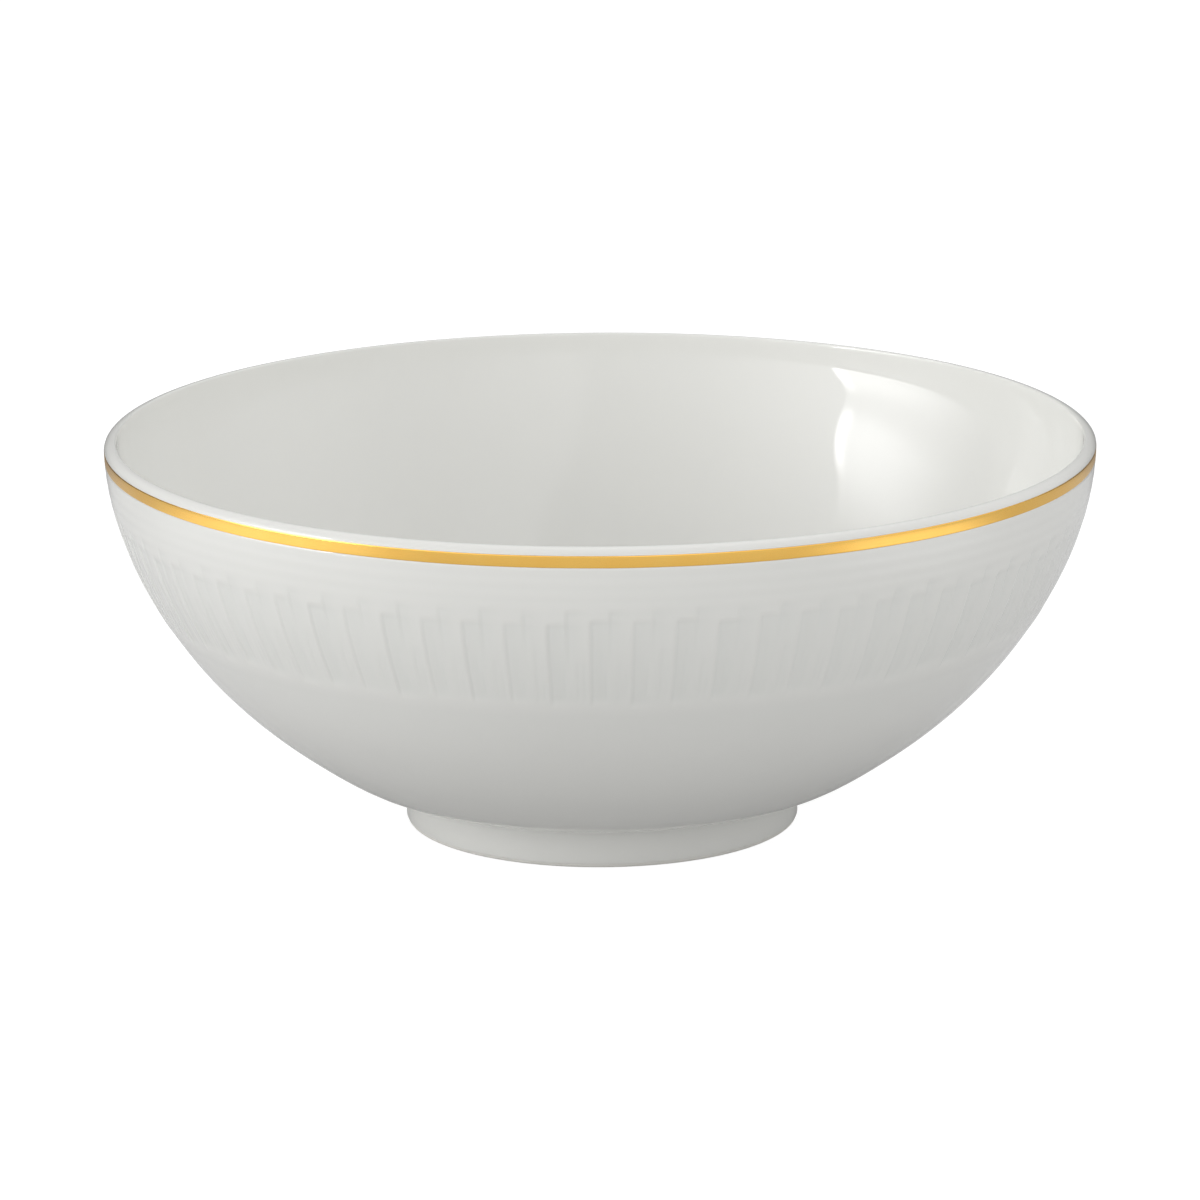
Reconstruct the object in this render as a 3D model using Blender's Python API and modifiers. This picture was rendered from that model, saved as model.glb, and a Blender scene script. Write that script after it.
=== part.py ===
"""Porcelain serving bowl, 240 mm across the rim and 96 mm high, on a turned foot ring.

The bowl is fired clay in layers, and each layer is its own solid: the biscuit cup and the foot ring
that is luted under it, the glaze that coats both, the glaze in the recess under the foot, and the gold
line round the rim. The origin is at the middle of the foot's resting face, with +Z up.
"""

import math

import bpy
from mathutils import Vector

MM = 0.001

# The whole bowl
RIM_RADIUS = 120.0
HEIGHT = 96.0
LIP_THICKNESS = 2.8
WALL_AT_FOOT = 4.6  # thickness of the wall where it meets the foot
FLOOR_Z = 11.4  # top of the well's floor, on the axis

# Foot ring
FOOT_RADIUS = 48.0
FOOT_INNER_RADIUS = 43.2
FOOT_EDGE = 1.2  # rounding of the resting edge
RECESS_ROOF_Z = 6.8
BARE_EDGE_Z = 2.0  # the glaze is wiped off the foot below this
FILLET_Z = 8.6  # the foot starts to flare into the wall here

# Gold line
BAND_BOTTOM_Z = 91.7
BAND_TOP_Z = 94.8

# Layers
GLAZE = 0.3
GOLD = 0.3
GAP = 0.3  # clearance between one layer and the next
CORE_INSET = GLAZE + GAP
SEAT = GOLD + GAP  # how far the layers step in behind the gold line

# Outer wall: two Bezier curves that meet at the shoulder, from the foot's shoulder up to the rim
FOOT_SHOULDER = (48.9, 10.0)
LOWER_HANDLES = ((58.6, 12.4), (58.7, 9.4))
SHOULDER = (77.2, 22.9)
UPPER_HANDLES = ((106.5, 44.2), (RIM_RADIUS, 73.7))
LIP_SPRING_Z = HEIGHT - LIP_THICKNESS / 2  # where the wall ends and the rounded lip begins

SEGMENTS = 60
LOWER_STEPS = 4
UPPER_STEPS = 6
LIP_STEPS = 4

BISCUIT = ((0.80, 0.78, 0.73), 0.75, 0.0)
GLAZED_WHITE = ((0.86, 0.87, 0.84), 0.08, 0.0)
GOLD_LUSTRE = ((0.83, 0.60, 0.25), 0.22, 1.0)


def clear_scene():
    for obj in list(bpy.data.objects):
        bpy.data.objects.remove(obj, do_unlink=True)


def new_collection(name):
    collection = bpy.data.collections.new(name)
    bpy.context.scene.collection.children.link(collection)
    return collection


def new_material(name, finish):
    colour, roughness, metallic = finish
    material = bpy.data.materials.new(name)
    material.use_nodes = True
    shader = material.node_tree.nodes["Principled BSDF"]
    shader.inputs["Base Color"].default_value = (*colour, 1.0)
    shader.inputs["Roughness"].default_value = roughness
    shader.inputs["Metallic"].default_value = metallic
    material.diffuse_color = (*colour, 1.0)
    return material


def bezier(start, handles, end, steps):
    """steps + 1 pairs of a point on the curve and the direction the curve runs in there."""
    p0, p1, p2, p3 = (Vector(p) for p in (start, *handles, end))
    run = []
    for i in range(steps + 1):
        t = i / steps
        s = 1 - t
        point = s**3 * p0 + 3 * s * s * t * p1 + 3 * s * t * t * p2 + t**3 * p3
        along = s * s * (p1 - p0) + 2 * s * t * (p2 - p1) + t * t * (p3 - p2)
        run.append((point, along.normalized()))
    return run


def outer_wall():
    """The true outside of the wall, from the foot's shoulder up to where the lip begins."""
    lower = bezier(FOOT_SHOULDER, LOWER_HANDLES, SHOULDER, LOWER_STEPS)
    upper = bezier(SHOULDER, UPPER_HANDLES, (RIM_RADIUS, LIP_SPRING_Z), UPPER_STEPS)
    return lower + upper[1:]


def wall_thickness(z):
    """Thick at the foot, thinning steadily up to the lip."""
    rise = (z - FOOT_SHOULDER[1]) / (LIP_SPRING_Z - FOOT_SHOULDER[1])
    return WALL_AT_FOOT + (LIP_THICKNESS - WALL_AT_FOOT) * min(1.0, rise**0.6)


def outside(inset):
    """The outer wall moved inwards by inset, from the foot's shoulder upwards."""
    return [point + Vector((-along.y, along.x)) * inset for point, along in outer_wall()]


def inside(inset):
    """The inner wall and the floor moved into the clay by inset, from the lip down to the axis."""
    wall = []
    for point, along in outer_wall():
        depth = wall_thickness(point.y) - inset
        wall.append(point + Vector((-along.y, along.x)) * depth)
    foot_end = wall[0]
    floor_slope = (wall[1] - wall[0]).normalized()
    floor_z = FLOOR_Z - inset
    handles = ((foot_end.x * 0.55, floor_z), foot_end - floor_slope * 10.0)
    floor = [point for point, _ in bezier((0.0, floor_z), handles, foot_end, 3)]
    return wall[:0:-1] + floor[::-1]


def lip(outer_x, inner_x, crest_z):
    """The rounded lip between the outer and inner wall, from outside to inside, without its ends."""
    half = (outer_x - inner_x) / 2
    middle = (outer_x + inner_x) / 2
    rise = crest_z - LIP_SPRING_Z
    return [
        Vector((middle + half * math.cos(a), LIP_SPRING_Z + rise * math.sin(a)))
        for a in (math.pi * i / LIP_STEPS for i in range(1, LIP_STEPS))
    ]


def x_on(wall, z):
    """Where the wall stands at height z, on the straight run between two of its points."""
    low, high = next(pair for pair in zip(wall, wall[1:]) if pair[0].y <= z <= pair[1].y)
    return low.x + (high.x - low.x) * (z - low.y) / (high.y - low.y)


def stepped_outside(inset, bottom_z):
    """The outer wall from the foot's shoulder up to the lip, stepped in behind the gold line."""
    wall = outside(inset)
    below = [point for point in wall if point.y < bottom_z]
    edge_x = x_on(wall, bottom_z)
    step_in = [Vector((edge_x, bottom_z)), Vector((edge_x - SEAT, bottom_z))]
    return below + step_in + [wall[-1] - Vector((SEAT, 0.0))]


def glaze_outline():
    """The glaze from the middle of the floor, over the lip and down to the foot's bare edge, and back."""
    low = BAND_BOTTOM_Z - GAP
    high = BAND_TOP_Z + GAP
    face = inside(0.0)
    outer = stepped_outside(0.0, low)
    turn = math.sqrt(1 - ((high - LIP_SPRING_Z) / (HEIGHT - LIP_SPRING_Z)) ** 2)
    turned_in = LIP_THICKNESS / 2 * (1 - turn)
    step_out = [Vector((outer[-1].x, high)), Vector((RIM_RADIUS - turned_in, high))]
    crest = [point for point in lip(RIM_RADIUS, face[0].x, HEIGHT) if point.y > high]
    foot_face = [Vector((FOOT_RADIUS, FILLET_Z)), Vector((FOOT_RADIUS, BARE_EDGE_Z + GAP))]
    front = (outer + step_out + crest)[::-1] + foot_face

    back_face = inside(GLAZE)
    back = stepped_outside(GLAZE, low - GLAZE)
    back_lip = lip(back[-1].x, back_face[0].x, HEIGHT - GLAZE)
    foot_back = [point - Vector((GLAZE, 0.0)) for point in foot_face[::-1]]
    return face[::-1] + front + foot_back + back + back_lip + back_face


def body_outline():
    """The biscuit cup: its inside, its lip, its outside and the flat underside that the foot is luted to."""
    face = inside(CORE_INSET)
    outer = stepped_outside(CORE_INSET, BAND_BOTTOM_Z - GAP - CORE_INSET)
    crest = lip(outer[-1].x, face[0].x, HEIGHT - CORE_INSET)
    under_z = RECESS_ROOF_Z + CORE_INSET
    skirt_x = FOOT_RADIUS - CORE_INSET
    skirt = [(skirt_x, FILLET_Z + GAP), (skirt_x, under_z), (0.0, under_z)]
    return face[::-1] + (outer + crest)[::-1] + [Vector(p) for p in skirt]


def foot_outline():
    """The foot ring, narrower where the glaze covers it and at its true size along the bare edge."""
    out_x = FOOT_RADIUS - CORE_INSET
    in_x = FOOT_INNER_RADIUS + CORE_INSET
    top_z = RECESS_ROOF_Z + GLAZE
    outer = [(out_x, top_z), (out_x, BARE_EDGE_Z), (FOOT_RADIUS - 0.1, BARE_EDGE_Z - 0.4)]
    edge = [(FOOT_RADIUS - 0.35 * FOOT_EDGE, 0.3 * FOOT_EDGE), (FOOT_RADIUS - FOOT_EDGE, 0.0)]
    back = [(FOOT_INNER_RADIUS + FOOT_EDGE, 0.0), (FOOT_INNER_RADIUS + 0.35 * FOOT_EDGE, 0.3 * FOOT_EDGE)]
    inner = [(FOOT_INNER_RADIUS + 0.1, BARE_EDGE_Z - 0.4), (in_x, BARE_EDGE_Z), (in_x, top_z)]
    return [Vector(p) for p in outer + edge + back + inner]


def base_glaze_outline():
    """The glaze in the recess: the disc under the well and the skirt inside the foot ring."""
    low = BARE_EDGE_Z + GAP
    face_x = FOOT_INNER_RADIUS
    back_x = FOOT_INNER_RADIUS + GLAZE
    fillet = 1.0
    back_z = RECESS_ROOF_Z + GLAZE
    back = [(0.0, back_z), (back_x, back_z), (back_x, low)]
    face = [(face_x, low), (face_x, RECESS_ROOF_Z - fillet)]
    bend = [(face_x - 0.3 * fillet, RECESS_ROOF_Z - 0.3 * fillet), (face_x - fillet, RECESS_ROOF_Z)]
    return [Vector(p) for p in back + face + bend + [(0.0, RECESS_ROOF_Z)]]


def band_outline():
    """The gold line: a thin hoop that fills the seat in the glaze, just turning in with the lip at its top."""
    low_x = x_on(outside(0.0), BAND_BOTTOM_Z)
    face = [(RIM_RADIUS - 0.03, BAND_TOP_Z), (RIM_RADIUS, LIP_SPRING_Z), (low_x, BAND_BOTTOM_Z)]
    back = [(low_x - GOLD, BAND_BOTTOM_Z), (RIM_RADIUS - GOLD, LIP_SPRING_Z), (RIM_RADIUS - GOLD, BAND_TOP_Z)]
    return [Vector(p) for p in face + back]


def turned(name, outline, material, collection):
    """A piece turned about the Z axis from its outline. An outline whose ends are off the axis is a ring."""
    points = [(p.x * MM, 0.0, p.y * MM) for p in outline]
    edges = [(i, i + 1) for i in range(len(points) - 1)]
    if outline[0].x > 0.0:
        edges.append((len(points) - 1, 0))
    mesh = bpy.data.meshes.new(name)
    mesh.from_pydata(points, edges, [])
    piece = bpy.data.objects.new(name, mesh)
    collection.objects.link(piece)
    mesh.materials.append(material)
    screw = piece.modifiers.new("Turn", "SCREW")
    screw.axis = "Z"
    screw.steps = screw.render_steps = SEGMENTS
    screw.use_merge_vertices = True
    screw.merge_threshold = 0.00001
    screw.use_smooth_shade = True
    return piece


def shade(piece):
    """The turned mesh made real, with smooth faces and crisp corners."""
    graph = bpy.context.evaluated_depsgraph_get()
    mesh = bpy.data.meshes.new_from_object(piece.evaluated_get(graph))
    piece.modifiers.clear()
    piece.data = mesh
    mesh.shade_smooth()
    mesh.set_sharp_from_angle(angle=math.radians(35))


def main():
    clear_scene()
    bowl = new_collection("porcelain_serving_bowl")
    biscuit = new_material("biscuit", BISCUIT)
    glaze = new_material("glaze", GLAZED_WHITE)
    pieces = [
        turned("bowl_body", body_outline(), biscuit, bowl),
        turned("foot_ring", foot_outline(), new_material("bare_foot", BISCUIT), bowl),
        turned("glaze_coat", glaze_outline(), glaze, bowl),
        turned("base_glaze", base_glaze_outline(), new_material("base_glaze", GLAZED_WHITE), bowl),
        turned("gold_band", band_outline(), new_material("gold", GOLD_LUSTRE), bowl),
    ]
    bpy.context.view_layer.update()
    for piece in pieces:
        shade(piece)


main()
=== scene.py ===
"""A porcelain serving bowl, 240 mm across, glazed white with pleated relief and a gold line under its lip."""

import math
import random

import bpy
import numpy as np
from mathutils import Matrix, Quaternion, Vector


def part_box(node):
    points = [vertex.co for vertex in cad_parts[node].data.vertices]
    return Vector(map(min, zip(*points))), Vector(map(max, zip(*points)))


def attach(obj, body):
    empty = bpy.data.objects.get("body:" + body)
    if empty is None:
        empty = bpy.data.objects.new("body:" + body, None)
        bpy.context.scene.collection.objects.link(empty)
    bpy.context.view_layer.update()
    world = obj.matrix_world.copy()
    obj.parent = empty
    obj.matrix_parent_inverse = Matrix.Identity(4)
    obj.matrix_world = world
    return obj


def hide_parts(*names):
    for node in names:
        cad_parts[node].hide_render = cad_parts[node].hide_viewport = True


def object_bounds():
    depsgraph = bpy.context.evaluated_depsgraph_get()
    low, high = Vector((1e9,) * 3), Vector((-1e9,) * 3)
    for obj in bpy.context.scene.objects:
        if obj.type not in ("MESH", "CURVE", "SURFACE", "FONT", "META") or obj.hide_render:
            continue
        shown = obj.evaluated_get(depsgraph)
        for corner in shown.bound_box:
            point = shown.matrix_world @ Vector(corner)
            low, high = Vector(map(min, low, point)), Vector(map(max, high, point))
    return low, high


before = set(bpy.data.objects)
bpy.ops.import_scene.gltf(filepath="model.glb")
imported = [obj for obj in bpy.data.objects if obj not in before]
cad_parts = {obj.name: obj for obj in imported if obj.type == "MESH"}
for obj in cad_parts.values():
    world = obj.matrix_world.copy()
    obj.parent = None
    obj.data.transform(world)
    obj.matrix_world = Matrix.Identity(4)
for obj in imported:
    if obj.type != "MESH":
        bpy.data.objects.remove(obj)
cad_low, cad_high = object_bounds()

MM = 0.001


# ---------------------------------------------------------------------------
# Camera: a long lens at a person's height at the table, looking a little down
# into the bowl, far enough away that the rim and the foot keep their shapes.
VIEW_DISTANCE = 1.56
VIEW_ELEVATION = math.radians(14.38)
ORBIT_CENTRE = Vector((-0.00025, 0.0, 0.048))
AIM = Vector((-0.00025, 0.0, 0.05395))
CAMERA_ROLL = math.radians(-0.33)

camera_data = bpy.data.cameras.new("camera")
camera_data.sensor_width = 36.0
camera_data.lens = 191.6
camera_data.clip_start = 0.05
camera_data.clip_end = 50.0
camera = bpy.data.objects.new("camera", camera_data)
bpy.context.scene.collection.objects.link(camera)
toward_camera = Vector((0.0, -math.cos(VIEW_ELEVATION), math.sin(VIEW_ELEVATION)))
camera.location = ORBIT_CENTRE + toward_camera * VIEW_DISTANCE
camera.rotation_mode = "QUATERNION"
look = (AIM - camera.location).to_track_quat("-Z", "Y")
camera.rotation_quaternion = look @ Quaternion((0.0, 0.0, 1.0), CAMERA_ROLL)
bpy.context.scene.camera = camera


# ---------------------------------------------------------------------------
# Biscuit cup: the fired clay inside the glaze. It is cast and turned in one
# piece, and the glaze hides all of it, so the turned solid itself stays.
BISCUIT_COLOUR = (0.76, 0.75, 0.71)


def named_group(name, inputs, outputs):
    """An empty shader group with its sockets: inputs as (name, kind, value), outputs as (name, kind)."""
    group = bpy.data.node_groups.new(name, "ShaderNodeTree")
    for label, kind, value in inputs:
        socket = group.interface.new_socket(label, in_out="INPUT", socket_type=kind)
        socket.default_value = value
    for label, kind in outputs:
        group.interface.new_socket(label, in_out="OUTPUT", socket_type=kind)
    start = group.nodes.new("NodeGroupInput")
    end = group.nodes.new("NodeGroupOutput")
    return group, start, end


def clay_grain_group():
    """The fine sandy grain of fired clay: a colour that wanders a little, a grain height and its dullness."""
    group, start, end = named_group(
        "clay_grain",
        [("Clay", "NodeSocketColor", (*BISCUIT_COLOUR, 1.0)), ("Grain Size", "NodeSocketFloat", 2500.0)],
        [("Color", "NodeSocketColor"), ("Height", "NodeSocketFloat"), ("Roughness", "NodeSocketFloat")],
    )
    nodes, link = group.nodes, group.links.new
    place = nodes.new("ShaderNodeTexCoord")
    grain = nodes.new("ShaderNodeTexNoise")
    grain.inputs["Detail"].default_value = 4.0
    link(place.outputs["Object"], grain.inputs["Vector"])
    link(start.outputs["Grain Size"], grain.inputs["Scale"])
    cloud = nodes.new("ShaderNodeTexNoise")
    cloud.inputs["Scale"].default_value = 60.0
    link(place.outputs["Object"], cloud.inputs["Vector"])
    shade = nodes.new("ShaderNodeMapRange")
    shade.inputs["To Min"].default_value = 0.93
    shade.inputs["To Max"].default_value = 1.05
    link(cloud.outputs["Fac"], shade.inputs["Value"])
    tint = nodes.new("ShaderNodeVectorMath")
    tint.operation = "SCALE"
    link(start.outputs["Clay"], tint.inputs[0])
    link(shade.outputs["Result"], tint.inputs["Scale"])
    dull = nodes.new("ShaderNodeMapRange")
    dull.inputs["To Min"].default_value = 0.62
    dull.inputs["To Max"].default_value = 0.82
    link(grain.outputs["Fac"], dull.inputs["Value"])
    link(tint.outputs["Vector"], end.inputs["Color"])
    link(grain.outputs["Fac"], end.inputs["Height"])
    link(dull.outputs["Result"], end.inputs["Roughness"])
    return group


CLAY_GRAIN = clay_grain_group()


def biscuit_material(name, grain_depth):
    """Bare fired clay: matt, with a fine grain of the given depth in metres."""
    material = bpy.data.materials.new(name)
    material.use_nodes = True
    nodes, link = material.node_tree.nodes, material.node_tree.links.new
    shader = nodes["Principled BSDF"]
    grain = nodes.new("ShaderNodeGroup")
    grain.node_tree = CLAY_GRAIN
    bump = nodes.new("ShaderNodeBump")
    bump.inputs["Distance"].default_value = grain_depth
    bump.inputs["Strength"].default_value = 0.5
    link(grain.outputs["Height"], bump.inputs["Height"])
    link(grain.outputs["Color"], shader.inputs["Base Color"])
    link(grain.outputs["Roughness"], shader.inputs["Roughness"])
    link(bump.outputs["Normal"], shader.inputs["Normal"])
    return material


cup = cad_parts["bowl_body"]
cup.data.materials.clear()
cup.data.materials.append(biscuit_material("biscuit_clay", 0.02 * MM))


# ---------------------------------------------------------------------------
# Foot ring: a turned ring of the same clay, luted under the cup. Its resting
# edge is ground flat and left bare, and its corners are rubbed round.
FOOT_INNER_RADIUS = 43.2 * MM
GLAZE_OVER_RING = 0.1 * MM  # the glaze's face stands this far outside the turned ring's
GLAZE_OVER_EDGE = 0.2 * MM  # and this far outside the bare edge
CLAY_SETBACK = 0.3 * MM  # the clay steps in by this under the glaze
EDGE_ROUND = 0.7 * MM
BARE_HEIGHT = 0.9 * MM  # the glaze is wiped off below this
WIPE_DROP = 0.2 * MM
WIPE_SLOPE = 0.05 * MM

PLEATS = 75  # pleats round the bowl, and every ring of points has a whole number to each of them
COARSE = np.arange(PLEATS * 4) * math.tau / (PLEATS * 4)


def ring(radius, z, angles, wall_normal=(0.0, 0.0), depth=0.0):
    """Points round the axis, moved along the section's normal by a depth, or by one for each point."""
    r = np.full(len(angles), radius) + wall_normal[0] * depth
    height = np.full(len(angles), z) + wall_normal[1] * depth
    return np.stack([r * np.cos(angles), r * np.sin(angles), height], axis=1)


def ring_faces(first, first_count, second, second_count):
    """Faces between two rings whose counts are equal, or differ by a whole ratio. A count of 1 is a pole."""
    many = max(first_count, second_count)
    few = min(first_count, second_count)
    if first_count == 1:
        return [[first, second + j, second + (j + 1) % many] for j in range(many)]
    if second_count == 1:
        return [[first + j, second, first + (j + 1) % many] for j in range(many)]
    ratio = many // few
    faces = []
    for j in range(few):
        run = [(j * ratio + k) % many for k in range(ratio + 1)]
        if first_count >= second_count:
            faces.append([second + j, second + (j + 1) % few] + [first + k for k in run[::-1]])
        else:
            faces.append([first + (j + 1) % few, first + j] + [second + k for k in run])
    return faces


def turned_piece(name, rings, closed):
    """A mesh through rings of points, given from the axis outwards and down. closed joins the ends."""
    starts = np.cumsum([0] + [len(points) for points in rings])
    pairs = [(i, i + 1) for i in range(len(rings) - 1)]
    if closed:
        pairs.append((len(rings) - 1, 0))
    faces = []
    for a, b in pairs:
        faces += ring_faces(int(starts[a]), len(rings[a]), int(starts[b]), len(rings[b]))
    mesh = bpy.data.meshes.new(name)
    mesh.from_pydata(np.concatenate(rings).tolist(), [], faces)
    mesh.shade_smooth()
    piece = bpy.data.objects.new(name, mesh)
    bpy.context.scene.collection.objects.link(piece)
    return piece


def arc(centre, radius, start, end, steps):
    """Points of a round corner in the section, by angle in degrees from the radius direction."""
    return [
        (centre[0] + radius * math.cos(a), centre[1] + radius * math.sin(a))
        for a in np.radians(np.linspace(start, end, steps + 1))
    ]


foot_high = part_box("foot_ring")[1]
FOOT_RADIUS = foot_high.x + GLAZE_OVER_RING
clay_out = FOOT_RADIUS - GLAZE_OVER_EDGE
clay_in = FOOT_INNER_RADIUS + GLAZE_OVER_EDGE
foot_section = [(clay_out - CLAY_SETBACK, foot_high.z), (clay_out - CLAY_SETBACK, BARE_HEIGHT + CLAY_SETBACK)]
foot_section += [(clay_out - WIPE_SLOPE, BARE_HEIGHT), (clay_out, BARE_HEIGHT - WIPE_DROP)]
foot_section += arc((clay_out - EDGE_ROUND, EDGE_ROUND), EDGE_ROUND, 0, -90, 8)
foot_section += arc((clay_in + EDGE_ROUND, EDGE_ROUND), EDGE_ROUND, -90, -180, 8)
foot_section += [(clay_in, BARE_HEIGHT - WIPE_DROP), (clay_in + WIPE_SLOPE, BARE_HEIGHT)]
foot_section += [(clay_in + CLAY_SETBACK, BARE_HEIGHT + CLAY_SETBACK), (clay_in + CLAY_SETBACK, foot_high.z)]
foot = turned_piece("foot", [ring(r, z, COARSE) for r, z in foot_section], closed=True)
foot.data.set_sharp_from_angle(angle=math.radians(40))
foot.data.materials.append(biscuit_material("bare_foot_clay", 0.03 * MM))
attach(foot, "root")
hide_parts("foot_ring")


# ---------------------------------------------------------------------------
# Glaze over the cup: a clear glass skin over the white clay, fired on as one
# coat from the well over the lip and down to the foot. The relief that was
# pressed into the clay shows through it, softened.
RIM_RADIUS = cad_high.x
LIP_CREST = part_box("glaze_coat")[1].z
LIP_WIDTH = 2.95 * MM
LIP_EDGE_ROUND = 0.45 * MM
LIP_SHOULDER_Z = 94.1 * MM  # the lip starts to round over here
WALL_TOP_DROP = 1.4 * MM  # the straight run of the wall would end this far below the crest
WALL_AT_FOOT = 4.6 * MM
WALL_AT_LIP = 2.95 * MM
WALL_SWELL = 0.6 * MM  # the wall is a little thicker below the lip
SWELL_FOOT, SWELL_MIDDLE, SWELL_TOP = 45.0 * MM, 74.0 * MM, 97.0 * MM
FLOOR_Z = 11.4 * MM
FLOOR_FLAT = 0.55  # how far out the well stays flat, as a share of the way to the wall
FLOOR_TURN = 10.0 * MM
FOOT_SHOULDER = np.array((48.9, 10.0)) * MM
SHOULDER = np.array((77.2, 22.9)) * MM
LOWER_HANDLES = np.array(((58.6, 12.4), (58.7, 9.4))) * MM
UPPER_HANDLES = np.array(((106.5, 44.2), (120.0, 73.7))) * MM


def bezier(p0, p1, p2, p3, steps):
    t = np.linspace(0.0, 1.0, steps + 1)[:, None]
    s = 1.0 - t
    return s**3 * p0 + 3 * s * s * t * p1 + 3 * s * t * t * p2 + t**3 * p3


def smooth(low, high, value):
    """0 below low, 1 above high, and a smooth rise between."""
    x = np.clip((value - low) / (high - low), 0.0, 1.0)
    return x * x * (3.0 - 2.0 * x)


def inward_normals(line):
    """The normal at each point of a line that climbs the outside, pointing into the wall."""
    along = np.gradient(line, axis=0)
    along /= np.linalg.norm(along, axis=1)[:, None]
    return np.stack([-along[:, 1], along[:, 0]], axis=1)


wall_top = np.array((RIM_RADIUS, LIP_CREST - WALL_TOP_DROP))
lip_middle = (RIM_RADIUS - LIP_WIDTH + LIP_EDGE_ROUND, LIP_CREST - LIP_EDGE_ROUND)
wall_line = np.concatenate([
    bezier(FOOT_SHOULDER, *LOWER_HANDLES, SHOULDER, 300)[:-1],
    bezier(SHOULDER, *UPPER_HANDLES, wall_top, 600),
])
lip_outside = [
    (
        lip_middle[0] + (RIM_RADIUS - lip_middle[0]) * math.cos(a),
        LIP_SHOULDER_Z + (LIP_CREST - LIP_SHOULDER_Z) * math.sin(a),
    )
    for a in np.radians(np.linspace(0, 90, 61))
]
outside = np.concatenate([wall_line[wall_line[:, 1] < LIP_SHOULDER_Z - 0.05 * MM], lip_outside[:-1]])
outside_normal = inward_normals(outside)


def wall_thickness(z):
    """From the foot to the lip, with a slight swell below the lip where the wet wall was compressed."""
    rise = np.clip((z - FOOT_SHOULDER[1]) / (wall_top[1] - FOOT_SHOULDER[1]), 0.0, 1.0)
    swell = WALL_SWELL * smooth(SWELL_FOOT, SWELL_MIDDLE, z) * (1.0 - smooth(SWELL_MIDDLE, SWELL_TOP, z))
    return WALL_AT_FOOT + (WALL_AT_LIP - WALL_AT_FOOT) * rise**0.6 + swell


def inside_line():
    """The inside of the cup from the lip down the wall and over the floor to the axis."""
    line = wall_line + inward_normals(wall_line) * wall_thickness(wall_line[:, 1])[:, None]
    end = line[0]
    slope = line[6] - line[0]
    slope /= np.linalg.norm(slope)
    flat_end = np.array((end[0] * FLOOR_FLAT, FLOOR_Z))
    floor = bezier(np.array((0.0, FLOOR_Z)), flat_end, end - slope * FLOOR_TURN, end, 60)
    return np.concatenate([line[:0:-1], floor[::-1]])


# The relief: four turned rings under the gold line, pleats that overlap like shingles, and a fine ledge.
RING_GROOVES = (89.4 * MM, 86.4 * MM, 83.4 * MM, 80.6 * MM)
RING_HALF_WIDTH = 1.4 * MM
RING_DEPTH = 0.045 * MM
RELIEF_TOP = 82.5 * MM
RELIEF_BOTTOM = 55.3 * MM
DEEPEST = 0.28 * MM
STEP_HALF = 0.04  # half the width of a pleat's step, as a share of the pleat
PANEL_TOP_EDGE = 1.0 * MM
LEDGE_Z = 53.6 * MM
LEDGE_HALF = 1.6 * MM
LEDGE_DEPTH = 0.09 * MM
LEDGE_FADE = 14.0 * MM  # the wall comes back to its own line over this height

# The panels of one pleat, in shares of its width and in millimetres, each length as (value, spread).
PANEL_PATTERN = (
    # left, right, top, bottom, depth, fade in from the bottom
    (0.00, 1.00, (78.5, 0.6), (56.1, 0.7), (0.28, 0.04), 2.0),
    (0.45, 1.00, (81.1, 0.7), (66.0, 2.0), (0.20, 0.05), 14.0),
    (0.22, 0.45, (70.5, 2.5), (57.0, 0.9), (0.07, 0.03), 2.4),
    (0.66, 1.00, (70.5, 3.0), (57.2, 0.9), (0.10, 0.04), 2.4),
    (0.34, 0.45, (64.5, 2.5), (57.4, 0.9), (0.09, 0.03), 2.4),
    (0.82, 1.00, (65.5, 3.0), (57.0, 0.9), (0.09, 0.03), 2.4),
)


def pleat_panels():
    """Each pleat's sunk panels as (left, right, top, bottom, depth, fade). Hand pressing makes them vary."""
    hand = random.Random(31)

    def pressed(length):
        value, spread = length
        return value * MM + hand.uniform(-spread, spread) * MM

    return [
        [
            (left, right, pressed(top), pressed(bottom), pressed(depth), fade * MM)
            for left, right, top, bottom, depth, fade in PANEL_PATTERN
        ]
        for _ in range(PLEATS)
    ]


PANELS = np.array(pleat_panels())


def pleat_depth(z, angles):
    """How deep the pleats sink the surface at a height, for each angle. A panel is deepest at its left."""
    turn = angles / math.tau * PLEATS
    depth = np.zeros(len(angles))
    for k in range(PANELS.shape[1]):
        start = np.floor(turn - PANELS[0, k, 0] + STEP_HALF + 1e-6)
        left, right, top, bottom, sink, fade = PANELS[start.astype(int) % PLEATS, k].T
        share = turn - start - left
        across = smooth(-STEP_HALF, STEP_HALF, share) * np.clip(1.0 - share / (right - left), 0.0, 1.0)
        fall = 1.0 - smooth(0.0, 1.0, (z - top + PANEL_TOP_EDGE) / PANEL_TOP_EDGE)
        rise = smooth(0.0, 1.0, (z - bottom) / fade)
        depth += sink * across * fall * rise
    return depth


def turned_depth(z):
    """The part of the relief that is the same all round: the rings and the ledge."""
    off_groove = [abs(z - groove) / RING_HALF_WIDTH for groove in RING_GROOVES]
    rings = sum(RING_DEPTH * (1 - smooth(0.0, 1.0, off)) for off in off_groove)
    below = 1.0 - smooth(LEDGE_Z - LEDGE_HALF, LEDGE_Z + LEDGE_HALF, z)
    ledge = LEDGE_DEPTH * below * smooth(LEDGE_Z - LEDGE_FADE, LEDGE_Z - LEDGE_HALF, z)
    return float(rings + ledge)


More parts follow.
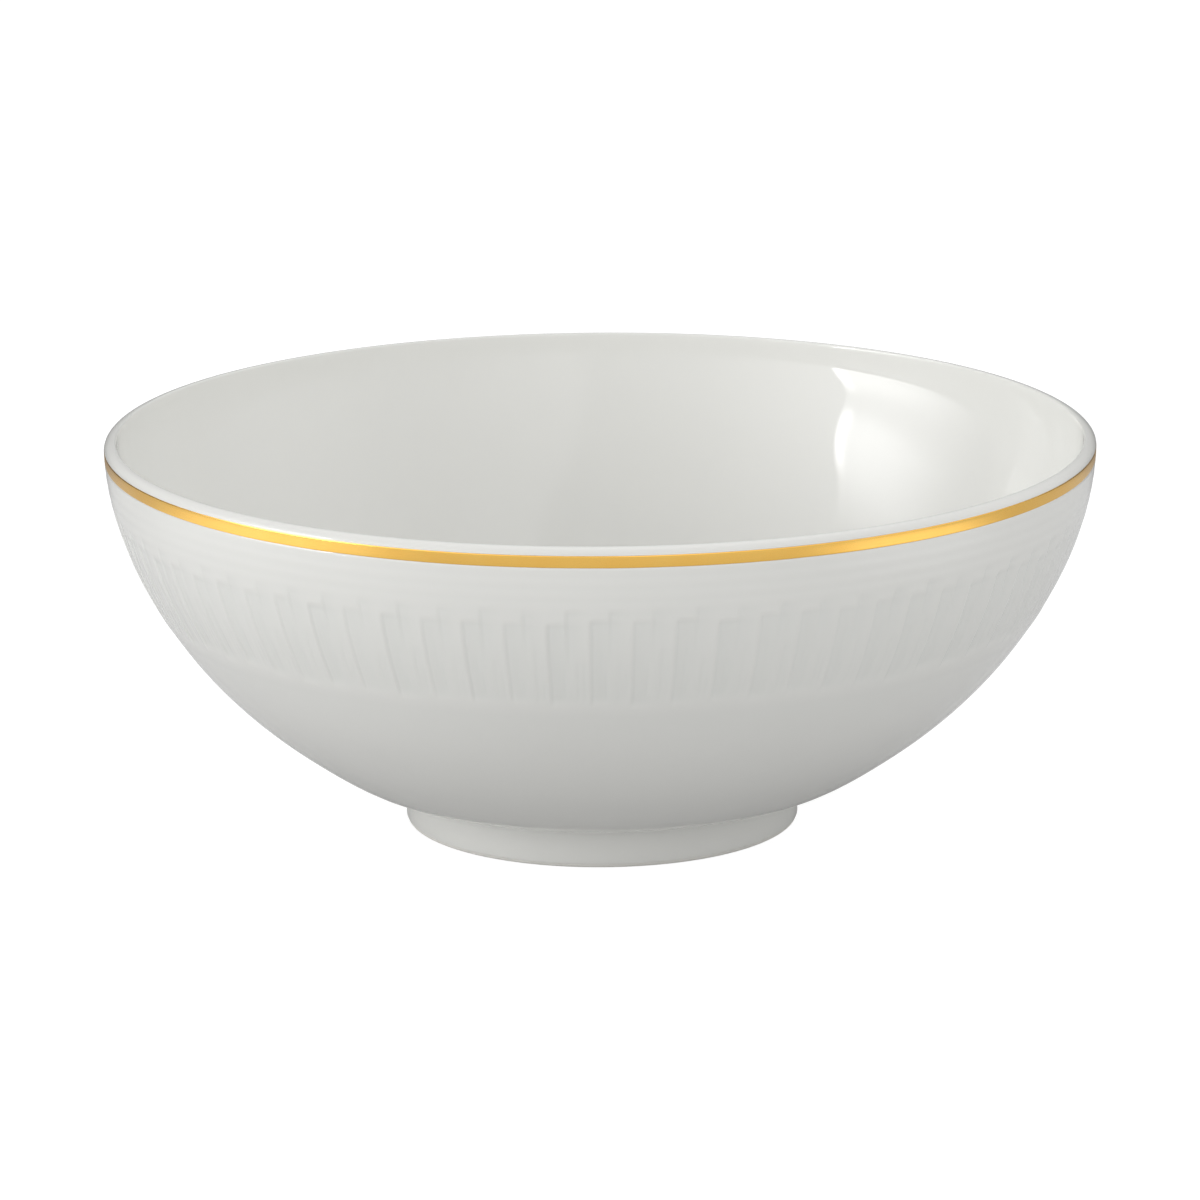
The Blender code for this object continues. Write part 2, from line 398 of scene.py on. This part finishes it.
# How closely the points stand round the bowl. In a pleat they are closest at the panels' left edges.
COLUMNS_IN_PLEAT = (
    0.0, 0.04, 0.08, 0.13, 0.18, 0.22, 0.26, 0.30, 0.34, 0.38, 0.41, 0.45,
    0.49, 0.53, 0.58, 0.62, 0.66, 0.70, 0.745, 0.78, 0.82, 0.86, 0.90, 0.96,
)
FINE = np.array([(pleat + u) / PLEATS for pleat in range(PLEATS) for u in COLUMNS_IN_PLEAT]) * math.tau
MIDDLE = np.arange(PLEATS * 8) * math.tau / (PLEATS * 8)
INSIDE = COARSE[::2]
BACK = COARSE[::4]

# How closely the rows of points stand down the bowl, as (top, bottom, gap) where the relief needs it.
SEAT_LOW = 91.49 * MM  # the gold line's seat
SEAT_HALFWAY = 93.0 * MM
SEAT_HIGH = 94.39 * MM
SEAT_DEPTH = 0.10 * MM
SEAT_TOP_EDGE = 0.03 * MM
SEAT_LOW_EDGE = 0.06 * MM
RING_ROWS = (SEAT_LOW - SEAT_LOW_EDGE, RELIEF_TOP, 0.45 * MM)
PLEAT_ROWS = (
    (RELIEF_TOP - 0.5 * MM, 74.0 * MM, 0.8 * MM),
    (73.1 * MM, 61.0 * MM, 1.2 * MM),
    (60.3 * MM, RELIEF_BOTTOM, 0.9 * MM),
)
LEDGE_ROWS = (RELIEF_BOTTOM - 0.3 * MM, LEDGE_Z - 2.4 * MM, 0.5 * MM)
LOWER_ROWS = (LEDGE_Z - 3.0 * MM, FOOT_SHOULDER[1], 3.0 * MM)
INSIDE_GAP = 3.0 * MM
BACK_GAP = 5.0 * MM


def spaced(line, gap):
    """Points along a line at an even spacing, both ends kept."""
    run = np.concatenate([[0.0], np.cumsum(np.linalg.norm(np.diff(line, axis=0), axis=1))])
    stations = np.linspace(0.0, run[-1], max(2, round(run[-1] / gap)) + 1)
    return np.stack([np.interp(stations, run, line[:, axis]) for axis in (0, 1)], axis=1)


def heights(high, low, gap):
    """Heights from high down to low at about the given gap along the wall."""
    line = outside[(outside[:, 1] >= low) & (outside[:, 1] <= high)][::-1]
    return list(spaced(line, gap)[:, 1])


def at_height(z):
    """The radius and the inward normal of the outside at a height, or at each of an array of heights."""
    radius = np.interp(z, outside[:, 1], outside[:, 0])
    normal = [np.interp(z, outside[:, 1], outside_normal[:, axis]) for axis in (0, 1)]
    return radius, normal


def pole(z):
    """The one point of a skin on the axis."""
    return np.array([[0.0, 0.0, z]])


def plain_rows(section, angles):
    """Rows of points through a section with no relief, as (points, depth)."""
    return [(ring(r, z, angles), 0.0) for r, z in section]


def sunk_row(z, angles, depth):
    """A row of points on the outside at a height, sunk by the relief, as (points, depth)."""
    radius, normal = at_height(z)
    return ring(radius, z, angles, normal, depth), depth


inner = spaced(inside_line(), INSIDE_GAP)[::-1]  # from the axis up to the lip
rows = [(pole(inner[0][1]), 0.0)]
rows += plain_rows(inner[1:-2], INSIDE)
rows += plain_rows(inner[-2:], COARSE)
rows += plain_rows(arc(lip_middle, LIP_EDGE_ROUND, 170, 90, 7), COARSE)
rows += plain_rows(lip_outside[-5:9:-4], COARSE)  # every 6 degrees of it, from 84 down to 18
rows.append(sunk_row(SEAT_HIGH + SEAT_TOP_EDGE, COARSE, 0.0))
for z in (SEAT_HIGH, SEAT_HALFWAY, SEAT_LOW):
    seat_points, _ = sunk_row(z, COARSE, SEAT_DEPTH)
    rows.append((seat_points, 0.0))  # no glaze pools in the gold line's seat

upper = heights(*RING_ROWS)
relief = [z for stretch in PLEAT_ROWS for z in heights(*stretch)]
ledge = heights(*LEDGE_ROWS)
lower = heights(*LOWER_ROWS)
rows += [sunk_row(z, COARSE, turned_depth(z)) for z in upper[:-1]]
rows.append(sunk_row(upper[-1], MIDDLE, turned_depth(upper[-1])))
rows += [sunk_row(z, FINE, pleat_depth(z, FINE) + turned_depth(z)) for z in relief]
rows.append(sunk_row(ledge[0], MIDDLE, turned_depth(ledge[0])))
rows += [sunk_row(z, COARSE, turned_depth(z)) for z in ledge[1:] + lower]

# The foot's outside, with a small fillet above it and a rounded bead where the glaze ends.
FILLET_HANDLE = np.array((48.3, 9.85)) * MM
FILLET_LOW = 9.3 * MM
FILLET_END = 7.8 * MM
BEAD_ROUND = 0.2 * MM
FOOT_SKIN = 0.4 * MM
FOOT_BACK_TOP = 8.4 * MM
fillet_end = np.array((FOOT_RADIUS, FILLET_END))
fillet = bezier(FOOT_SHOULDER, FILLET_HANDLE, np.array((FOOT_RADIUS, FILLET_LOW)), fillet_end, 8)
rows += plain_rows(fillet[1:], COARSE)
rows += plain_rows([(FOOT_RADIUS, z * MM) for z in (6.2, 4.6, 3.2)], COARSE)
rows += plain_rows(arc((FOOT_RADIUS - BEAD_ROUND, BARE_HEIGHT + BEAD_ROUND), BEAD_ROUND, 0, -180, 6), COARSE)
rows += plain_rows([(FOOT_RADIUS - FOOT_SKIN, FOOT_BACK_TOP)], COARSE)

# The back of the skin, plain, close against the clay.
CLAY_UNDER_GLAZE = 0.45 * MM  # the glaze's back stands this deep
back_of_wall = (outside + outside_normal * CLAY_UNDER_GLAZE)[outside[:, 1] < SEAT_LOW]
rows += plain_rows(spaced(back_of_wall, BACK_GAP), BACK)
back_of_lip = [(RIM_RADIUS - 0.45 * MM, 93.7 * MM), (RIM_RADIUS - 0.4 * MM, 94.5 * MM)]
back_of_lip += [(RIM_RADIUS - 0.95 * MM, 95.35 * MM), (RIM_RADIUS - 1.6 * MM, 95.6 * MM)]
back_of_lip += [(RIM_RADIUS - 2.3 * MM, 95.4 * MM), (RIM_RADIUS - LIP_WIDTH + 0.45 * MM, 95.0 * MM)]
rows += plain_rows(back_of_lip, BACK)
inside_back = inside_line()
inside_back_normal = inward_normals(inside_back[::-1])[::-1]
inside_back = spaced(inside_back - inside_back_normal * CLAY_UNDER_GLAZE, BACK_GAP)
rows += plain_rows([(r, z) for r, z in inside_back[1:-1] if r > 1.0 * MM], BACK)
rows.append((pole(FLOOR_Z - CLAY_UNDER_GLAZE), 0.0))

coat = turned_piece("glazed_cup", [points for points, _ in rows], closed=False)
depths = np.concatenate([np.broadcast_to(depth, len(points)) for points, depth in rows]).astype(np.float32)
pool = coat.data.attributes.new("glaze_pool", "FLOAT", "POINT")
pool.data.foreach_set("value", np.clip(depths / DEEPEST, 0.0, 1.0))
coat.data.set_sharp_from_angle(angle=math.radians(50))


def glaze_skin_group():
    """Glaze on white clay: a body colour that wanders slowly, cooler where glaze pools, and its ripple."""
    group, start, end = named_group(
        "glaze_skin",
        [
            ("White", "NodeSocketColor", (0.80, 0.80, 0.77, 1.0)),
            ("Pooled", "NodeSocketColor", (0.768, 0.775, 0.745, 1.0)),
            ("Pool", "NodeSocketFloat", 0.0),
        ],
        [("Color", "NodeSocketColor"), ("Height", "NodeSocketFloat")],
    )
    nodes, link = group.nodes, group.links.new
    place = nodes.new("ShaderNodeTexCoord")
    cloud = nodes.new("ShaderNodeTexNoise")
    cloud.inputs["Scale"].default_value = 14.0
    cloud.inputs["Detail"].default_value = 3.0
    link(place.outputs["Object"], cloud.inputs["Vector"])
    wander = nodes.new("ShaderNodeMapRange")
    wander.inputs["From Min"].default_value = 0.3
    wander.inputs["From Max"].default_value = 0.7
    wander.inputs["To Min"].default_value = 0.985
    wander.inputs["To Max"].default_value = 1.01
    link(cloud.outputs["Fac"], wander.inputs["Value"])
    mix = nodes.new("ShaderNodeMix")
    mix.data_type = "RGBA"
    link(start.outputs["Pool"], mix.inputs["Factor"])
    link(start.outputs["White"], mix.inputs["A"])
    link(start.outputs["Pooled"], mix.inputs["B"])
    tint = nodes.new("ShaderNodeVectorMath")
    tint.operation = "SCALE"
    link(mix.outputs["Result"], tint.inputs[0])
    link(wander.outputs["Result"], tint.inputs["Scale"])
    ripple = nodes.new("ShaderNodeTexNoise")
    ripple.inputs["Scale"].default_value = 90.0
    ripple.inputs["Detail"].default_value = 1.0
    link(place.outputs["Object"], ripple.inputs["Vector"])
    link(tint.outputs["Vector"], end.inputs["Color"])
    link(ripple.outputs["Fac"], end.inputs["Height"])
    return group


GLAZE_SKIN = glaze_skin_group()


def glazed_material(name, pool_attribute):
    """White porcelain under a clear glossy glaze. pool_attribute says where the glaze pools, or is None."""
    material = bpy.data.materials.new(name)
    material.use_nodes = True
    nodes, link = material.node_tree.nodes, material.node_tree.links.new
    shader = nodes["Principled BSDF"]
    shader.inputs["Roughness"].default_value = 0.45
    shader.inputs["IOR"].default_value = 1.5
    shader.inputs["Coat Weight"].default_value = 1.0
    shader.inputs["Coat Roughness"].default_value = 0.035
    shader.inputs["Coat IOR"].default_value = 1.5
    skin = nodes.new("ShaderNodeGroup")
    skin.node_tree = GLAZE_SKIN
    if pool_attribute:
        pooled = nodes.new("ShaderNodeAttribute")
        pooled.attribute_name = pool_attribute
        link(pooled.outputs["Fac"], skin.inputs["Pool"])
    bump = nodes.new("ShaderNodeBump")
    bump.inputs["Distance"].default_value = 0.01 * MM
    bump.inputs["Strength"].default_value = 0.6
    link(skin.outputs["Height"], bump.inputs["Height"])
    link(bump.outputs["Normal"], shader.inputs["Normal"])
    link(skin.outputs["Color"], shader.inputs["Base Color"])
    return material


coat.data.materials.append(glazed_material("porcelain_glaze", "glaze_pool"))
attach(coat, "root")
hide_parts("glaze_coat")


# ---------------------------------------------------------------------------
# Glaze in the recess: the same coat on the cup's underside and on the inside
# of the foot ring, with a soft corner between them and a bead at its edge.
RECESS_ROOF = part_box("base_glaze")[1].z - 0.3 * MM
RECESS_FILLET = 1.6 * MM
RECESS_SKIN = 0.35 * MM
RECESS_BEAD = 0.15 * MM
back_z = RECESS_ROOF + RECESS_SKIN
back_r = FOOT_INNER_RADIUS + RECESS_SKIN
bead_middle = (FOOT_INNER_RADIUS + RECESS_BEAD, BARE_HEIGHT + BEAD_ROUND)
corner = (FOOT_INNER_RADIUS - RECESS_FILLET, RECESS_ROOF - RECESS_FILLET)
recess = [(r * MM, back_z) for r in (15.0, 30.0)]
recess += [(FOOT_INNER_RADIUS, back_z), (back_r, RECESS_ROOF - 1.0 * MM), (back_r, BARE_HEIGHT + 0.3 * MM)]
recess += arc(bead_middle, RECESS_BEAD, -45, -180, 4)
recess += [(FOOT_INNER_RADIUS, 3.4 * MM)] + arc(corner, RECESS_FILLET, 0, 90, 8)
recess += [(r * MM, RECESS_ROOF) for r in (36.0, 28.0, 20.0, 12.0, 5.0)]
recess_rings = [pole(back_z)] + [ring(r, z, COARSE) for r, z in recess] + [pole(RECESS_ROOF)]
under = turned_piece("glazed_recess", recess_rings, closed=False)
under.data.set_sharp_from_angle(angle=math.radians(50))
under.data.materials.append(glazed_material("recess_glaze", None))
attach(under, "root")
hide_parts("base_glaze")


# ---------------------------------------------------------------------------
# Gold line: liquid gold banded on over the glaze with the bowl on a wheel,
# fired, and burnished. Its edges waver a little where the brush ran.
BAND_LOW = 91.54 * MM
BAND_HIGH = 94.34 * MM
GOLD_PROUD = 0.012 * MM
GOLD_BACK = 0.07 * MM
EDGE_SUNK = 0.02 * MM
EDGE_WAVER = 0.035 * MM


def wavering(angles, seed):
    """A slow, closed wave round the bowl, for a brushed edge."""
    hand = random.Random(seed)
    waves = [(count, hand.uniform(0.4, 1.0), hand.uniform(0.0, math.tau)) for count in (3, 7, 13, 24, 41)]
    total = sum(size * np.sin(count * angles + start) for count, size, start in waves)
    return total / sum(size for _, size, _ in waves)


def band_ring(share, depth):
    """A ring of the gold line at a share of its width from the top, sunk by a depth."""
    high = BAND_HIGH + EDGE_WAVER * wavering(MIDDLE, 5)
    low = BAND_LOW + EDGE_WAVER * wavering(MIDDLE, 6)
    z = high + (low - high) * share
    radius, normal = at_height(z)
    return ring(radius, z, MIDDLE, normal, depth)


band_section = [(0.0, EDGE_SUNK), (0.03, 0.0)]
band_section += [(share, -GOLD_PROUD) for share in (0.10, 0.35, 0.65, 0.90)]
band_section += [(0.97, 0.0), (1.0, EDGE_SUNK), (1.0, GOLD_BACK), (0.0, GOLD_BACK)]
band = turned_piece("gold_line", [band_ring(share, depth) for share, depth in band_section], closed=True)
band.data.set_sharp_from_angle(angle=math.radians(50))


def gold_material():
    """Burnished fired gold: a warm metal with a soft polish and fine marks that run round the rim."""
    material = bpy.data.materials.new("burnished_gold")
    material.use_nodes = True
    nodes, link = material.node_tree.nodes, material.node_tree.links.new
    shader = nodes["Principled BSDF"]
    shader.inputs["Metallic"].default_value = 1.0
    place = nodes.new("ShaderNodeTexCoord")
    streak = nodes.new("ShaderNodeMapping")
    streak.inputs["Scale"].default_value = (60.0, 60.0, 2600.0)
    link(place.outputs["Object"], streak.inputs["Vector"])
    marks = nodes.new("ShaderNodeTexNoise")
    marks.inputs["Scale"].default_value = 1.0
    marks.inputs["Detail"].default_value = 3.0
    link(streak.outputs["Vector"], marks.inputs["Vector"])
    polish = nodes.new("ShaderNodeMapRange")
    polish.inputs["To Min"].default_value = 0.16
    polish.inputs["To Max"].default_value = 0.30
    link(marks.outputs["Fac"], polish.inputs["Value"])
    thin = nodes.new("ShaderNodeTexNoise")
    thin.inputs["Scale"].default_value = 120.0
    link(place.outputs["Object"], thin.inputs["Vector"])
    tone = nodes.new("ShaderNodeMix")
    tone.data_type = "RGBA"
    tone.inputs["A"].default_value = (0.96, 0.55, 0.12, 1.0)
    tone.inputs["B"].default_value = (0.98, 0.62, 0.16, 1.0)
    link(thin.outputs["Fac"], tone.inputs["Factor"])
    bump = nodes.new("ShaderNodeBump")
    bump.inputs["Distance"].default_value = 0.004 * MM
    bump.inputs["Strength"].default_value = 0.4
    link(marks.outputs["Fac"], bump.inputs["Height"])
    link(polish.outputs["Result"], shader.inputs["Roughness"])
    link(tone.outputs["Result"], shader.inputs["Base Color"])
    link(bump.outputs["Normal"], shader.inputs["Normal"])
    return material


band.data.materials.append(gold_material())
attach(band, "root")
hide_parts("gold_band")


# ---------------------------------------------------------------------------
# Studio: a pale paper floor in a pale room. Broad soft light comes in from low
# all round, most of it from a curtained window on the left with a narrow bare
# gap, and a pale screen stands at the right front for the glaze to mirror.
FLOOR_SIZE = 6.0
FLOOR_TONE = 0.50
FLOOR_GLOW = 0.10
LOOKED_AT_TONE = 0.12  # where the floor is looked at, it is its own glow that makes it white
LOOKED_AT_GLOW = 0.95
SUNLIT_PATCHES = ((-0.42, -0.13, 0.32), (0.365, -0.17, 0.20))  # x, y and radius
PATCH_CORE = 0.06
PATCH_LIGHT = 0.68
AHEAD = (-0.18, -0.40)  # the floor gets lighter from here to here
AHEAD_LIGHT = 0.12
BEHIND = (0.24, 0.46)  # and darker behind the bowl
BEHIND_SHADE = 0.8

bpy.ops.mesh.primitive_plane_add(size=FLOOR_SIZE, location=(0.0, 0.0, 0.0))
floor = bpy.context.object
floor.name = "floor"


def arithmetic(tree, operation, first, second=0.0):
    """One step of arithmetic in a tree of nodes, on sockets or plain numbers."""
    node = tree.nodes.new("ShaderNodeMath")
    node.operation = operation
    for socket, value in zip(node.inputs, (first, second)):
        if isinstance(value, (int, float)):
            socket.default_value = value
        else:
            tree.links.new(value, socket)
    return node.outputs["Value"]


def fade(tree, value, start, end):
    """0 before the start and 1 past the end, with a smooth rise between."""
    node = tree.nodes.new("ShaderNodeMapRange")
    node.interpolation_type = "SMOOTHSTEP"
    node.inputs["From Min"].default_value = start
    node.inputs["From Max"].default_value = end
    tree.links.new(value, node.inputs["Value"])
    return node.outputs["Result"]


def floor_material():
    """Matt paper: white where it is looked at, greyer in what it throws back, with two sunlit patches."""
    material = bpy.data.materials.new("pale_paper")
    material.use_nodes = True
    tree = material.node_tree
    nodes, link = tree.nodes, tree.links.new
    shader = nodes["Principled BSDF"]
    shader.inputs["Roughness"].default_value = 0.9
    shader.inputs["Specular IOR Level"].default_value = 0.1
    shader.inputs["Emission Color"].default_value = (1.0, 1.0, 1.0, 1.0)
    path = nodes.new("ShaderNodeLightPath")
    mirrored = path.outputs["Is Glossy Ray"]
    looked_at = path.outputs["Is Camera Ray"]
    place = nodes.new("ShaderNodeTexCoord")
    split = nodes.new("ShaderNodeSeparateXYZ")
    link(place.outputs["Object"], split.inputs["Vector"])

    thrown = 0.0
    for x, y, radius in SUNLIT_PATCHES:
        distance = nodes.new("ShaderNodeVectorMath")
        distance.operation = "DISTANCE"
        distance.inputs[1].default_value = (x, y, 0.0)
        link(place.outputs["Object"], distance.inputs[0])
        patch = fade(tree, distance.outputs["Value"], radius, PATCH_CORE)
        thrown = arithmetic(tree, "ADD", arithmetic(tree, "MULTIPLY", patch, PATCH_LIGHT), thrown)
    ahead = arithmetic(tree, "MULTIPLY", fade(tree, split.outputs["Y"], *AHEAD), AHEAD_LIGHT)
    thrown = arithmetic(tree, "MULTIPLY", arithmetic(tree, "ADD", thrown, ahead), mirrored)

    behind = arithmetic(tree, "MULTIPLY", fade(tree, split.outputs["Y"], *BEHIND), mirrored)
    shade = arithmetic(tree, "SUBTRACT", 1.0, arithmetic(tree, "MULTIPLY", behind, BEHIND_SHADE))
    paper = nodes.new("ShaderNodeMix")
    paper.data_type = "RGBA"
    paper.inputs["B"].default_value = (LOOKED_AT_TONE, LOOKED_AT_TONE, LOOKED_AT_TONE, 1.0)
    link(arithmetic(tree, "MULTIPLY", shade, FLOOR_TONE), paper.inputs["A"])
    link(looked_at, paper.inputs["Factor"])
    link(paper.outputs["Result"], shader.inputs["Base Color"])
    own_glow = arithmetic(tree, "MULTIPLY", shade, FLOOR_GLOW)
    lift = arithmetic(tree, "MULTIPLY", looked_at, LOOKED_AT_GLOW - FLOOR_GLOW)
    glow = arithmetic(tree, "ADD", lift, own_glow)
    link(arithmetic(tree, "ADD", glow, thrown), shader.inputs["Emission Strength"])
    return material


floor.data.materials.append(floor_material())

# The room's light, by direction in degrees. Azimuth 0 is the camera's side, and 90 is +X.
CURTAIN_LIGHT = 4.3
CURTAIN_EDGE = (-59.5, -61.0)
CURTAIN_FAR_SIDE = (-108.0, -66.0)  # the cloth's light fades away behind the window
CURTAIN_LEAN = (-0.1, -0.0085)  # by the elevation, and by its square
CURTAIN_WAVE = 1.7
CURTAIN_WAVE_HEIGHT = 24.0
SPREAD_SHARE = 0.62  # of the cloth's light, the share that matt surfaces get
GAP_LIGHT = 5.0
GAP_SIDE = (-64.5, -62.5)
GAP_TOP = (31.0, 26.0)
RAIL_LOW = (5.5, 12.5)
RAIL_HIGH = (19.5, 14.5)
RAIL_SHADE = 0.56
WINDOW_LOW = (-3.0, 1.0)
WINDOW_HIGH = (44.0, 20.0)
SCREEN_LIGHT = 0.50
SCREEN_EDGE = (2.0, 7.0)
SCREEN_FAR_SIDE = (65.0, 10.0)
SCREEN_LEAN = (-0.25, 0.01)
SCREEN_LOW = (-6.0, 0.0)
SCREEN_HIGH = (80.0, 60.0)
ROOM_GLOW = (
    # azimuth, elevation, how narrow, strength
    (-90, 8, 3, 0.62),
    (-45, 8, 3, 0.90),
    (-62, 3, 10, 0.50),
    (0, 8, 3, 0.42),
    (45, 8, 3, 0.36),
    (90, 8, 3, 0.89),
    (90, 45, 4, 0.10),
    (0, 90, 3, 0.22),
)
FAR_GLOW = (180, 45, 4, 1.0)
FAR_GLOW_SPREAD = 2.0  # how much of the far glow matt surfaces get
FAR_GLOW_MIRRORED = 0.5  # and how much the glaze mirrors

world = bpy.data.worlds.new("studio_room")
bpy.context.scene.world = world
world.use_nodes = True
room = world.node_tree
gaze = room.nodes.new("ShaderNodeTexCoord").outputs["Generated"]
gaze_parts = room.nodes.new("ShaderNodeSeparateXYZ")
room.links.new(gaze, gaze_parts.inputs["Vector"])
toward_front = arithmetic(room, "MULTIPLY", gaze_parts.outputs["Y"], -1.0)
AZIMUTH = arithmetic(room, "DEGREES", arithmetic(room, "ARCTAN2", gaze_parts.outputs["X"], toward_front))
ELEVATION = arithmetic(room, "DEGREES", arithmetic(room, "ARCSINE", gaze_parts.outputs["Z"]))
room_path = room.nodes.new("ShaderNodeLightPath")
MIRRORED = room_path.outputs["Is Glossy Ray"]


def times(first, second):
    return arithmetic(room, "MULTIPLY", first, second)


def soft_light(azimuth, elevation, narrowness, strength):
    """Brightness that falls off softly round one direction."""
    a, e = math.radians(azimuth), math.radians(elevation)
    dot = room.nodes.new("ShaderNodeVectorMath")
    dot.operation = "DOT_PRODUCT"
    dot.inputs[1].default_value = (math.sin(a) * math.cos(e), -math.cos(a) * math.cos(e), math.sin(e))
    room.links.new(gaze, dot.inputs[0])
    facing = arithmetic(room, "MAXIMUM", dot.outputs["Value"])
    return times(arithmetic(room, "POWER", facing, narrowness), strength)


def upright(lean):
    """The azimuth measured from a line that leans and bends as it rises."""
    straight, bend = lean
    line = arithmetic(room, "ADD", times(ELEVATION, straight), times(times(ELEVATION, ELEVATION), bend))
    return arithmetic(room, "SUBTRACT", AZIMUTH, line)


def curtained_window():
    """The window on the left: a wavy curtain with a narrow bare gap at its edge, and a dimmer rail."""
    wave = times(arithmetic(room, "COSINE", times(ELEVATION, math.tau / CURTAIN_WAVE_HEIGHT)), CURTAIN_WAVE)
    across = arithmetic(room, "SUBTRACT", upright(CURTAIN_LEAN), wave)
    edge = fade(room, across, *CURTAIN_EDGE)
    curtain = times(fade(room, across, *CURTAIN_FAR_SIDE), edge)
    gap = times(times(fade(room, across, *GAP_SIDE), fade(room, ELEVATION, *GAP_TOP)), edge)
    rail = times(fade(room, ELEVATION, *RAIL_LOW), fade(room, ELEVATION, *RAIL_HIGH))
    through_cloth = arithmetic(room, "SUBTRACT", CURTAIN_LIGHT, times(rail, RAIL_SHADE * CURTAIN_LIGHT))
    through_gap = arithmetic(room, "SUBTRACT", GAP_LIGHT, times(rail, GAP_LIGHT))
    share = arithmetic(room, "ADD", times(MIRRORED, 1.0 - SPREAD_SHARE), SPREAD_SHARE)
    cloth = times(times(curtain, through_cloth), share)
    bare = times(times(gap, through_gap), MIRRORED)
    tall = times(fade(room, ELEVATION, *WINDOW_LOW), fade(room, ELEVATION, *WINDOW_HIGH))
    return times(arithmetic(room, "ADD", cloth, bare), tall)


def pale_screen():
    """A pale screen at the right front, brightest along its leaning left edge and fading off to the right."""
    across = upright(SCREEN_LEAN)
    wide = times(fade(room, across, *SCREEN_EDGE), fade(room, across, *SCREEN_FAR_SIDE))
    tall = times(fade(room, ELEVATION, *SCREEN_LOW), fade(room, ELEVATION, *SCREEN_HIGH))
    return times(times(wide, tall), SCREEN_LIGHT)


def far_glow():
    """The pale wall behind: bright on matt surfaces, and dimmer in what the glaze and the gold mirror."""
    dimming = times(MIRRORED, FAR_GLOW_SPREAD - FAR_GLOW_MIRRORED)
    return times(soft_light(*FAR_GLOW), arithmetic(room, "SUBTRACT", FAR_GLOW_SPREAD, dimming))


lights = [soft_light(*light) for light in ROOM_GLOW] + [far_glow(), curtained_window(), pale_screen()]
room_light = lights[0]
for light in lights[1:]:
    room_light = arithmetic(room, "ADD", room_light, light)
room_light = arithmetic(room, "MAXIMUM", room_light, room_path.outputs["Is Camera Ray"])
room.links.new(room_light, room.nodes["Background"].inputs["Color"])
bpy.context.scene.view_settings.view_transform = "Standard"
